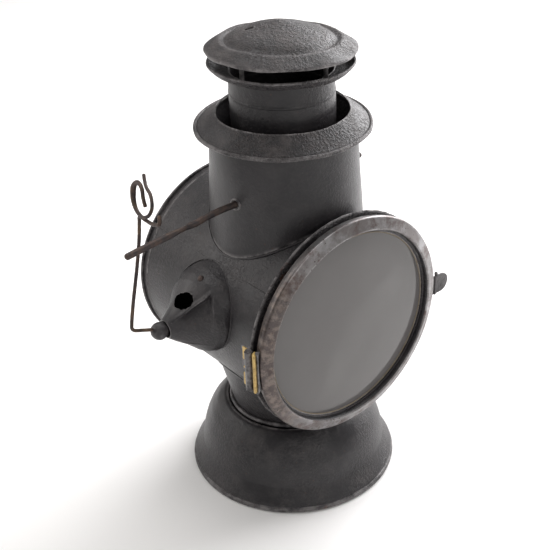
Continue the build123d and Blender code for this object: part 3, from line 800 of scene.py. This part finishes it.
def saddle_seam(name, radius, sign, thick, material, seed):
    """Run of solder where a tube of this radius meets the drum."""
    path = []
    for i in range(TURNS + 1):
        angle = 2 * math.pi * i / TURNS
        y = radius * math.sin(angle)
        lump = 0.25 * noise.noise(Vector((i * 0.13, seed, 0)))
        path.append(
            Vector((radius * math.cos(angle), y, DRUM_Z + sign * (drum_side_z(y) + 0.25 + lump)))
        )

    def swell(t):
        return thick * (1 + 0.35 * noise.noise(Vector((t * 34, seed, 2))))

    return rod(name, path, swell, "case", material, sides=10)


cone = spun(
    "socket_cone_skin", sleeve((57.6, 102.0), (43.2, 46.0), -1), "case", case_paint,
    bend=warp(0.5, 40, 5),
)
swap(cone, "case_paint", "socket_cone")
bead = spun("socket_ring", bead_loop((48.2, 59.0), 1.7, 12), "case", case_paint, bend=warp(0.4, 50, 6))
swap(bead, "case_paint", "socket_bead")
saddle_seam("socket_solder", 57.5, -1, 0.8, seam_paint, 3)

DRUM_BACK, DRUM_FRONT, DRUM_STEPS = -85.0, 61.0, 60
DRUM_LONG = DRUM_FRONT - DRUM_BACK
drum_loop = [(DRUM_R, DRUM_BACK + i * DRUM_LONG / DRUM_STEPS) for i in range(DRUM_STEPS + 1)]
drum_loop += [(DRUM_R - SHEET, DRUM_FRONT - i * DRUM_LONG / DRUM_STEPS) for i in range(DRUM_STEPS + 1)]
dents = warp(0.7, 45, 9)
drum = spun("drum_skin", drum_loop, "case", case_paint, about="X", bend=dents)


def round_cutter(radius, x, y, low, high, along="Z"):
    outline = [
        (x + radius * math.cos(i * math.pi / 24), y + radius * math.sin(i * math.pi / 24))
        for i in range(48)
    ]
    if along == "Z":
        return prism(outline, low, high, lambda a, b, h: (a, b, h))
    return prism(outline, low, high, lambda a, b, h: (a, h, b))


cut(
    drum,
    [
        round_cutter(49.6, 0, 0, 160, 260),
        round_cutter(43.2, 0, 0, 50, 150),
        round_cutter(14.0, -6.3, 156.4, -100, -40, "Y"),
    ],
    30,
)
swap(drum, "case_paint", "drum_shell")

cover_path = [
    (78.2, DRUM_BACK), (70.5, DRUM_BACK), (68.6, -84.6), (66.4, -82.9), (64.0, -82.5), (0.05, -82.3),
]
cover = spun(
    "rear_disc", plate_loop(cover_path, thick=-0.8), "case", case_paint, about="X"
)
swap(cover, "case_paint", "rear_cover")
rear_roll = spun(
    "rear_roll", bead_loop((77.9, -83.9), 1.15, 12, 1.0, 0.9), "case", case_paint, about="X"
)
swap(rear_roll, "case_paint", "rear_bead")
for index, x in enumerate((-78.0, 54.0)):
    ring = spun(
        f"drum_swage_{index}", bead_loop((76.9, x), 0.7, 10, 0.7, 1.6), "case", case_paint,
        about="X", bend=dents,
    )
LAP_R, LAP_ANGLE = 76.9, 0.62
lap_y, lap_z = -LAP_R * math.cos(LAP_ANGLE), DRUM_Z + LAP_R * math.sin(LAP_ANGLE)
seam_path = [Vector((-84 + i * 2.0, lap_y, lap_z)) for i in range(72)]
rod("drum_lap_seam", seam_path, 0.35, "case", seam_paint, sides=8, rough=0.15)


def lumpy_flange(p):
    """Blistered edge of the front flange."""
    out = Vector((0, p.y, p.z - DRUM_Z)).normalized()
    lump = noise.noise(p / 5.5) * 0.35 + noise.noise(p / 2.2) * 0.16
    return p + out * (lump - 0.35) + Vector((noise.noise(p / 6 + Vector((9, 9, 9))) * 0.22, 0, 0))


flange_path = [(76.6, 59.2), (84.2, 59.1), (85.2, 59.5), (85.5, 60.1), (85.2, 60.7), (84.2, 61.1)]
flange_path += [(76.6, 61.0)]
flange = spun(
    "front_rim", spaced([Vector(p) for p in flange_path], 1.2), "case", flange_rust,
    about="X", bend=lumpy_flange, turns=420, crease=60,
)
swap(flange, "case_paint", "front_flange")

# ---- neck, collar, chimney, tray and cap ---------------------------------------------------------

NECK_FOOT, NECK_TOP = (57.6, 200.0), (52.4, 298.8)  # radius, height
ROD_X, ROD_Z = 11.0, 250.2


def neck_radius(z):
    taper = (NECK_FOOT[0] - NECK_TOP[0]) / (NECK_TOP[1] - NECK_FOOT[1])
    return NECK_FOOT[0] - (z - NECK_FOOT[1]) * taper


neck = spun(
    "neck_skin", sleeve(NECK_FOOT, NECK_TOP, 1), "case", neck_paint, bend=warp(0.9, 42, 12)
)
swap(neck, "case_paint", "neck_tube")
saddle_seam("neck_solder", 57.5, 1, 0.75, seam_paint, 8)

for side in (1, -1):
    rings = []
    for r, out in ((2.5, -0.6), (2.9, 0.5), (3.6, 0.8), (4.4, 0.3), (4.8, -1.2), (2.5, -1.2)):
        ring = []
        for i in range(48):
            angle = 2 * math.pi * i / 48
            x, z = ROD_X + r * math.cos(angle), ROD_Z + r * math.sin(angle)
            y = math.sqrt(neck_radius(z) ** 2 - x**2) + out
            ring.append(Vector((x, side * y, z)))
        rings.append(ring)
    eyelet = mesh_piece(
        f"eyelet_{'left' if side > 0 else 'right'}", *grid(rings, close_rows=True), "case", neck_paint
    )
    if side > 0:
        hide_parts("rod_eyelets")

collar_path = [(62.2, 291.4), (60.6, 293.6), (59.2, 294.4), (48.0, 303.6)]
collar = spun(
    "collar_skin", plate_loop(collar_path, 0.9, 0.9, 1.5), "case", rim_paint, bend=warp(0.8, 30, 14)
)
swap(collar, "top_paint", "draught_collar")
collar_roll = spun(
    "collar_roll", bead_loop((62.5, 292.0), 1.45, 12), "case", rim_paint, bend=warp(0.8, 30, 14)
)
swap(collar_roll, "top_paint", "collar_bead")

liner = spun(
    "throat_liner", plate_loop([(52.4, 270.0), (51.2, 296.4), (47.2, 302.4)], 0.3, 0.4, 2.0),
    "case", inside_rust, bend=warp(0.15, 20, 18),
)

chimney_path = [
    (37.3, 262.0), (37.3, 316.4), (37.6, 317.2), (37.6, 318.0), (37.3, 318.8), (37.3, 333.4),
]
chimney = spun(
    "chimney_skin", plate_loop(chimney_path, 0.9, 0.4, 1.6), "case", chimney_paint,
    bend=warp(0.55, 26, 15),
)
swap(chimney, "top_paint", "chimney_tube")

TOWARD = Vector((0.784, -0.62, 0.0))
ACROSS = Vector((0.62, 0.784, 0.0))


def leaning(front_deg, side_deg, drop, ripple):
    """A bent part that leans, front up and right side down, after the ripple."""

    def move(p):
        q = ripple(p)
        lift = q.dot(TOWARD) * math.tan(math.radians(front_deg))
        return q + Vector((0, 0, lift - q.dot(ACROSS) * math.tan(math.radians(side_deg)) - drop))

    return move


tray_bend = leaning(2.4, 0.9, 0.9, warp(0.6, 20, 16))
tray = spun(
    "tray_skin",
    plate_loop([(36.2, 332.6), (46.0, 333.0), (50.9, 337.6), (51.2, 339.0)], 0.9, 1.6, 1.4),
    "case", rim_paint, bend=tray_bend,
)
swap(tray, "top_paint", "cap_tray")
lip = spun("tray_roll", bead_loop((50.9, 339.2), 0.85, 10), "case", rim_paint, bend=tray_bend)

cap_bend = leaning(3.2, 1.4, 0.3, warp(0.8, 22, 17))
cap_outline = [
    (0.02, 367.5),
    (2.6, 367.0),
    (11.0, 365.0),
    (20.0, 362.4),
    (28.0, 359.8),
    (33.5, 357.3),
    (36.6, 354.9),
    (38.2, 353.9),
    (39.6, 354.0),
    (41.4, 354.9),
    (43.0, 354.8),
    (51.8, 349.2),
    (52.9, 348.3),
    (53.2, 347.4),
    (52.8, 346.6),
    (51.8, 346.5),
    (41.4, 353.4),
    (39.0, 352.6),
    (36.6, 353.2),
    (32.8, 356.0),
    (20.0, 361.0),
    (0.02, 366.0),
]
cap = spun(
    "cap_skin", spaced([Vector(p) for p in cap_outline], 2.2), "case", top_paint, bend=cap_bend
)
hole = [(x - 10.6, y - 18.4) for x, y in ragged(3.6, 2.1, math.radians(52), 3, 30)]
cut(cap, [prism(hole, 350, 380, lambda a, b, h: (a, b, h))])
swap(cap, "top_paint", "cap_top")

# ---- door ----------------------------------------------------------------------------------------

door_bend = warp(0.35, 45, 21)
bezel_path = [
    (83.6, 65.2),
    (84.8, 68.6),
    (85.1, 70.2),
    (85.0, 71.6),
    (83.9, 72.4),
    (80.0, 73.8),
    (77.2, 75.0),
    (76.3, 75.2),
    (75.5, 74.4),
]
bezel = spun(
    "bezel_skin", plate_loop(bezel_path, 1.0, 0.9, 1.1), "door", bezel_tin, about="X", bend=door_bend
)
swap(bezel, "bezel_tin", "door_bezel")

GLASS_R, GLASS_RISE, GLASS_EDGE_X = 75.0, 6.5, 69.0
BULGE_R = (GLASS_R**2 + GLASS_RISE**2) / (2 * GLASS_RISE)


def glass_front(r):
    """How far forward the bulging glass reaches at radius r."""
    return GLASS_EDGE_X + math.sqrt(BULGE_R**2 - r**2) - (BULGE_R - GLASS_RISE)


glass_outline = [Vector((GLASS_R - 0.4, 64.1)), Vector((GLASS_R, 64.6)), Vector((GLASS_R, 68.8))]
for i in range(30):
    r = 74.6 * (1 - i / 30)
    glass_outline.append(Vector((r, glass_front(r) - 0.05)))
glass_outline += [Vector((0.02, 75.45)), Vector((0.02, 64.1))]
glass = spun("bulls_eye", glass_outline, "door", lens_glass, about="X", crease=30)
swap(glass, "lens_glass", "lens_glass")

seat_path = [(75.9, 74.3), (75.2, 73.4), (74.9, 70.9), (74.2, 70.0), (72.5, 69.75)]
seat_ring = spun(
    "glass_seat", plate_loop(seat_path, 0.6, 0.6, 0.8), "door", bezel_tin, about="X"
)
back_wall = [(75.9, 74.0), (75.3, 73.0), (75.2, 66.6), (75.9, 66.0), (83.2, 66.0)]
back_ring = spun(
    "door_backing", plate_loop(back_wall, -0.5, 0.6, 1.5), "door", seam_paint, about="X"
)

PUTTY_R = 72.2
putty = spun(
    "putty_line", bead_loop((PUTTY_R, glass_front(PUTTY_R) + 0.15), 0.42, 8), "door", putty_tan, about="X"
)


TAB_FRONT, TAB_BACK = 67.9, 66.1
TAB_Z = 150.0
TAB_MIDDLE = Vector((94.0, 0.0))


def tab_piece():
    """Thick tongue with a rounded end, let into the door's edge."""
    outline = [(84.2, -7.6), (90.0, -7.9), (96.5, -7.9)]
    for i in range(13):
        angle = -math.pi / 2 + math.pi * i / 12
        outline.append((97.2 + 8.0 * math.cos(angle), 7.9 * math.sin(angle)))
    outline += [(96.5, 7.9), (90.0, 7.9), (84.2, 7.6)]
    outline = spaced([Vector(p) for p in outline], 1.2)
    faces = ((TAB_BACK, 0.5), (TAB_BACK + 0.35, 0.0), (TAB_FRONT - 0.35, 0.0), (TAB_FRONT, 0.5))
    rings = []
    for x, shrink in faces:
        ring = []
        for p in outline:
            away = p - TAB_MIDDLE
            away = away * (1 - shrink / away.length)
            curl = -0.3 * max(0.0, (p.x - 98.0) / 7.0) ** 2
            ring.append(Vector((x + curl, TAB_MIDDLE.x + away.x, TAB_Z + away.y)))
        rings.append(ring)
    return mesh_piece("tab_tongue", *grid(rings, caps=True), "door", tab_paint, 35)


tab_paint = paint("tab_paint", 0.2, 0.35, 0.4, 8.0, dull=0.08, crust=0.05, worn_part=0.25)
tongue = tab_piece()
swap(tongue, "case_paint", "door_tab")
fold_path = [Vector((68.0, 90.4, 142.6 + i * 0.95)) for i in range(17)]
fold = rod("tab_fold", fold_path, 0.95, "door", tab_paint, sides=12, rough=0.06)
nib_path = [Vector(p) for p in ((67.3, 92.4, 156.6), (67.2, 92.2, 158.6), (67.1, 92.0, 160.4))]
nib = rod("tab_nib", smooth_path(nib_path, 0.5), 1.3, "door", tab_paint, sides=12, rough=0.1)

# ---- hinge ---------------------------------------------------------------------------------------


def hinge_plate(name, low_x, high_x, low_z, high_z, body):
    """Thin brass leaf with rounded corners, beside the door's edge."""
    outer, inner = -86.4, -87.55
    outline = []
    corners = (
        (high_x, high_z, 0), (low_x, high_z, 1), (low_x, low_z, 2), (high_x, low_z, 3),
    )
    for x, z, quarter in corners:
        sx = -1 if x == high_x else 1
        sz = -1 if z == high_z else 1
        for i in range(5):
            angle = math.pi / 2 * (quarter + i / 4)
            outline.append(
                (x + sx * 0.8 + 0.8 * math.cos(angle), z + sz * 0.8 + 0.8 * math.sin(angle))
            )
    rings = []
    for y, shrink in ((outer, 0.2), (outer - 0.2, 0.0), (inner + 0.2, 0.0), (inner, 0.2)):
        cx, cz = (low_x + high_x) / 2, (low_z + high_z) / 2
        ring = []
        for x, z in outline:
            kx = 1 - shrink / (high_x - low_x) * 2
            kz = 1 - shrink / (high_z - low_z) * 2
            ring.append(Vector((cx + (x - cx) * kx, y, cz + (z - cz) * kz)))
        rings.append(ring)
    return mesh_piece(name, *grid(rings, caps=True), body, hinge_brass, 35)


HINGE = Vector((63.5, -88.8, 0.0))
KNUCKLE_R = 2.62
for index, (low_z, high_z, body) in enumerate(
    ((137.5, 148.0, "case"), (148.5, 158.5, "door"), (159.0, 169.5, "case"))
):
    path = [HINGE + Vector((0, 0, low_z + 2.1 + i * (high_z - low_z - 4.2) / 8)) for i in range(9)]
    roll = rod(f"hinge_knuckle_{index}", path, KNUCKLE_R, body, hinge_brass, sides=20)
    if body == "case":
        leaf = hinge_plate(f"hinge_case_plate_{index}", 55.4, 62.0, low_z, high_z, body)
wrap = rod(
    "hinge_wrap", [HINGE + Vector((4.6, 1.6, 138.2 + i * 1.9)) for i in range(17)], 2.3, "door",
    hinge_brass, sides=24, flat=lambda t: 1.55,
)
for index, z in enumerate((141.6, 153.5, 165.6)):
    head = rod(
        f"hinge_rivet_{index}",
        [Vector((57.8, -87.4, z)), Vector((57.8, -87.9, z))], 0.95, "case", hinge_brass, sides=14,
    )

# ---- winder boss ---------------------------------------------------------------------------------

BOSS = [  # y, centre x, centre z, radius
    (-60.0, -5.0, 168.0, 32.5),
    (-72.0, -5.0, 166.6, 32.0),
    (-79.0, -5.0, 165.0, 30.8),
    (-84.0, -5.0, 164.2, 28.3),
    (-88.0, -5.0, 163.5, 24.8),
    (-92.0, -5.0, 163.2, 20.8),
    (-96.0, -5.0, 163.0, 16.9),
    (-100.0, -5.2, 162.7, 13.8),
    (-104.0, -5.5, 162.5, 11.2),
    (-107.5, -5.8, 162.8, 8.8),
    (-110.0, -6.0, 163.0, 7.2),
]
BOSS_AROUND = 300
HOOD_OUT = Vector((0.673, -0.532, 0.515)).normalized()
HOOD_ACROSS = Vector((0.62, 0.784, 0.0)).normalized()
HOOD_UP = HOOD_OUT.cross(HOOD_ACROSS)
FOLD = Vector((5.6, -93.9, 178.8))
HOLE = Vector((-3.0, -94.1, 181.7))


def boss_point(row, angle, inset):
    y, cx, cz, r = row
    r -= inset
    p = Vector((cx + r * math.cos(angle), y, cz + r * math.sin(angle)))
    # A fold across the face: its upper side stands proud, its lower side falls in.
    depth = max(0.0, min(1.0, (-y - 66) / 12))
    taper = max(0.0, min(1.0, (108 + y) / 8.0)) * max(0.0, min(1.0, p.z - 150))
    from_fold = p - FOLD
    across, upward = from_fold.dot(HOOD_ACROSS), from_fold.dot(HOOD_UP)
    fold = 0.549 * across - 0.836 * upward
    end = max(0.0, min(1.0, (16.0 - across) / 2.5))
    ridge = math.exp(-(((fold + 0.9) / 1.3) ** 2))
    hollow = min(1.0, max(0.0, fold) / 1.4) * math.exp(-((max(0.0, fold) / 19.0) ** 2))
    p += HOOD_OUT * (0.8 * ridge - 3.0 * hollow) * depth * taper * end
    return p + noise.noise_vector(p / 13 + Vector((3, 1, 7))) * 0.55 * depth


def boss_rows():
    """The boss's rings, filled in between."""
    rows = [Vector(row) for row in BOSS]
    out = []
    for a, b in zip(rows, rows[1:]):
        out += [a.lerp(b, i / 9) for i in range(9)]
    return out + [rows[-1]]


rows = boss_rows()
rings = []
for inset in (0.0, 0.9):
    shell = [
        [boss_point(row, 2 * math.pi * i / BOSS_AROUND, inset) for i in range(BOSS_AROUND)]
        for row in rows
    ]
    rings += shell if not inset else shell[::-1]
boss = mesh_piece("boss_shell", *grid(rings, close_rows=True), "case", case_paint, 32)
wall_cut = [
    (76.2 * math.cos(i * math.pi / 90), DRUM_Z + 76.2 * math.sin(i * math.pi / 90))
    for i in range(180)
]
boss_hole = ragged(7.4, 6.0, math.radians(18), 4, 60, 0.12)
cut(
    boss,
    [
        prism(wall_cut, -90, 70, lambda a, b, h: (h, a, b)),
        prism(boss_hole, -9, 30, lambda a, b, h: HOLE + HOOD_ACROSS * a + HOOD_UP * b + HOOD_OUT * h),
    ],
    32,
)
swap(boss, "case_paint", "winder_boss")

_, ROOT_X, ROOT_Z, _ = BOSS[0]
SEAM_R = 32.6
seam = []
for i in range(181):
    angle = 2 * math.pi * i / 180
    x, z = ROOT_X + SEAM_R * math.cos(angle), ROOT_Z + SEAM_R * math.sin(angle)
    seam.append(Vector((x, -math.sqrt(max(DRUM_R**2 - (z - DRUM_Z) ** 2, 4)) - 0.2, z)))
rod("boss_solder", seam, 0.6, "case", seam_paint, sides=8, rough=0.35)

rivet = rod(
    "boss_stud", [Vector((-1.2, -77.5, 193.8)), Vector((-1.2, -79.6, 195.2))], 2.3, "case", iron,
    sides=18,
)
swap(rivet, "rusty_iron", "boss_rivet")


def ball_piece(name, centre, radius, body, material):
    rings = []
    for i in range(1, 24):
        polar = math.pi * i / 24
        ring = []
        for j in range(40):
            angle = 2 * math.pi * j / 40
            d = Vector(
                (
                    math.sin(polar) * math.cos(angle),
                    math.cos(polar),
                    math.sin(polar) * math.sin(angle),
                )
            )
            ring.append(centre + d * radius * (1 + 0.03 * noise.noise(d * 2.5)))
        rings.append(ring)
    return mesh_piece(name, *grid(rings, caps=True), body, material, 60)


ball = ball_piece("gland_knob", Vector((-6.3, -114.5, 163.4)), 6.6, "case", case_paint)
swap(ball, "rusty_iron", "gland_ball")

# ---- crank and finger loop -----------------------------------------------------------------------

WHEEL = Vector((5.0, 0.0, 126.0))
AXIS = Vector((-11.0, -114.5, 39.0)).normalized()
CORNER = WHEEL + AXIS * 145.0
UP = Vector((-0.18061, 0.33262, 0.92560)).normalized()
SIDE = AXIS.cross(UP).normalized()
LOOP = CORNER + UP * 92.0


def in_loop(side, up, out=0.0):
    return LOOP + SIDE * side + UP * up + AXIS * out


elbow = [CORNER - AXIS * 4, CORNER - AXIS * 1.3 + UP * 1.0, CORNER - AXIS * 0.2 + UP * 4.5]
shaft = [WHEEL - AXIS * 2, WHEEL + AXIS * 40, WHEEL + AXIS * 80, WHEEL + AXIS * 120, CORNER - AXIS * 9]
rise = [
    CORNER + UP * 20 + SIDE * 0.3,
    CORNER + UP * 45 - SIDE * 0.3,
    CORNER + UP * 64 + SIDE * 0.2,
]
turned = [
    in_loop(1.3, -14.7, 0.5), in_loop(0.6, -11.1, 1.2), in_loop(-4.7, -10.7, 1.4),
    in_loop(-10.5, -8.7, 1.0), in_loop(-13.1, -4.1, 0.4), in_loop(-11.8, 1.3, 0.0),
    in_loop(-7.7, 6.2, -0.4), in_loop(-2.3, 9.4, -0.7), in_loop(2.4, 12.9, -1.6),
    in_loop(5.4, 17.4, -2.0),
]
crank = rod(
    "crank_wire", smooth_path(shaft + elbow + rise + turned, 1.0), 1.3, "winder", wire_iron,
    sides=14, rough=0.1,
)
swap(crank, "rusty_iron", "winder_crank")
second = [
    in_loop(-2.0, -3.1, -1.0), in_loop(-0.3, 2.2, 0.2), in_loop(0.8, 7.6, 1.0),
    in_loop(4.1, 10.9, 1.2), in_loop(9, 11.5, 0.8), in_loop(13.6, 8.2, 0.3),
    in_loop(14.4, 1.8, -0.3), in_loop(12.4, -4.1, -0.8), in_loop(7.9, -8.8, -1.2),
    in_loop(0.5, -11.8, -1.6), in_loop(-8, -13.2, -1.2), in_loop(-14.9, -13.5, -0.4),
    in_loop(-20.5, -13.0, 0.0), in_loop(-23.4, -12.4, 0.2), in_loop(-24.6, -10.4, 0.3),
    in_loop(-23.2, -7.0, 0.3),
]


def thicker_left(t):
    """Radius of the finger loop's wire, thicker on its left side."""
    return 1.4 + 0.75 * math.exp(-(((t - 0.36) / 0.13) ** 2))


ring_wire = rod(
    "finger_ring", smooth_path(second, 0.8), thicker_left, "winder", wire_iron, sides=14, rough=0.12
)

# ---- carrying rod --------------------------------------------------------------------------------

rod_path = [
    (ROD_X, 63.2, ROD_Z), (ROD_X, 40.0, ROD_Z), (ROD_X, 0.0, ROD_Z), (ROD_X, -40.0, ROD_Z),
    (ROD_X, -62.0, ROD_Z), (ROD_X, -70.0, 250.0), (11.1, -81.0, 249.2), (11.4, -87.0, 248.2),
    (11.2, -94.0, 247.8), (11.0, -118.0, 245.9), (11.0, -144.0, 243.6),
]


def pinch(t):
    """Flattening of the bar near its outer end."""
    return 1 - 0.30 * math.exp(-(((t - 0.79) / 0.03) ** 2))


bar = rod(
    "carry_bar", smooth_path(rod_path, 1.4), 2.35, "rod", iron, sides=18, flat=pinch, rough=0.15
)
swap(bar, "rusty_iron", "carrying_rod")

# ---- view, light and floor -----------------------------------------------------------------------

make_camera()
make_studio()
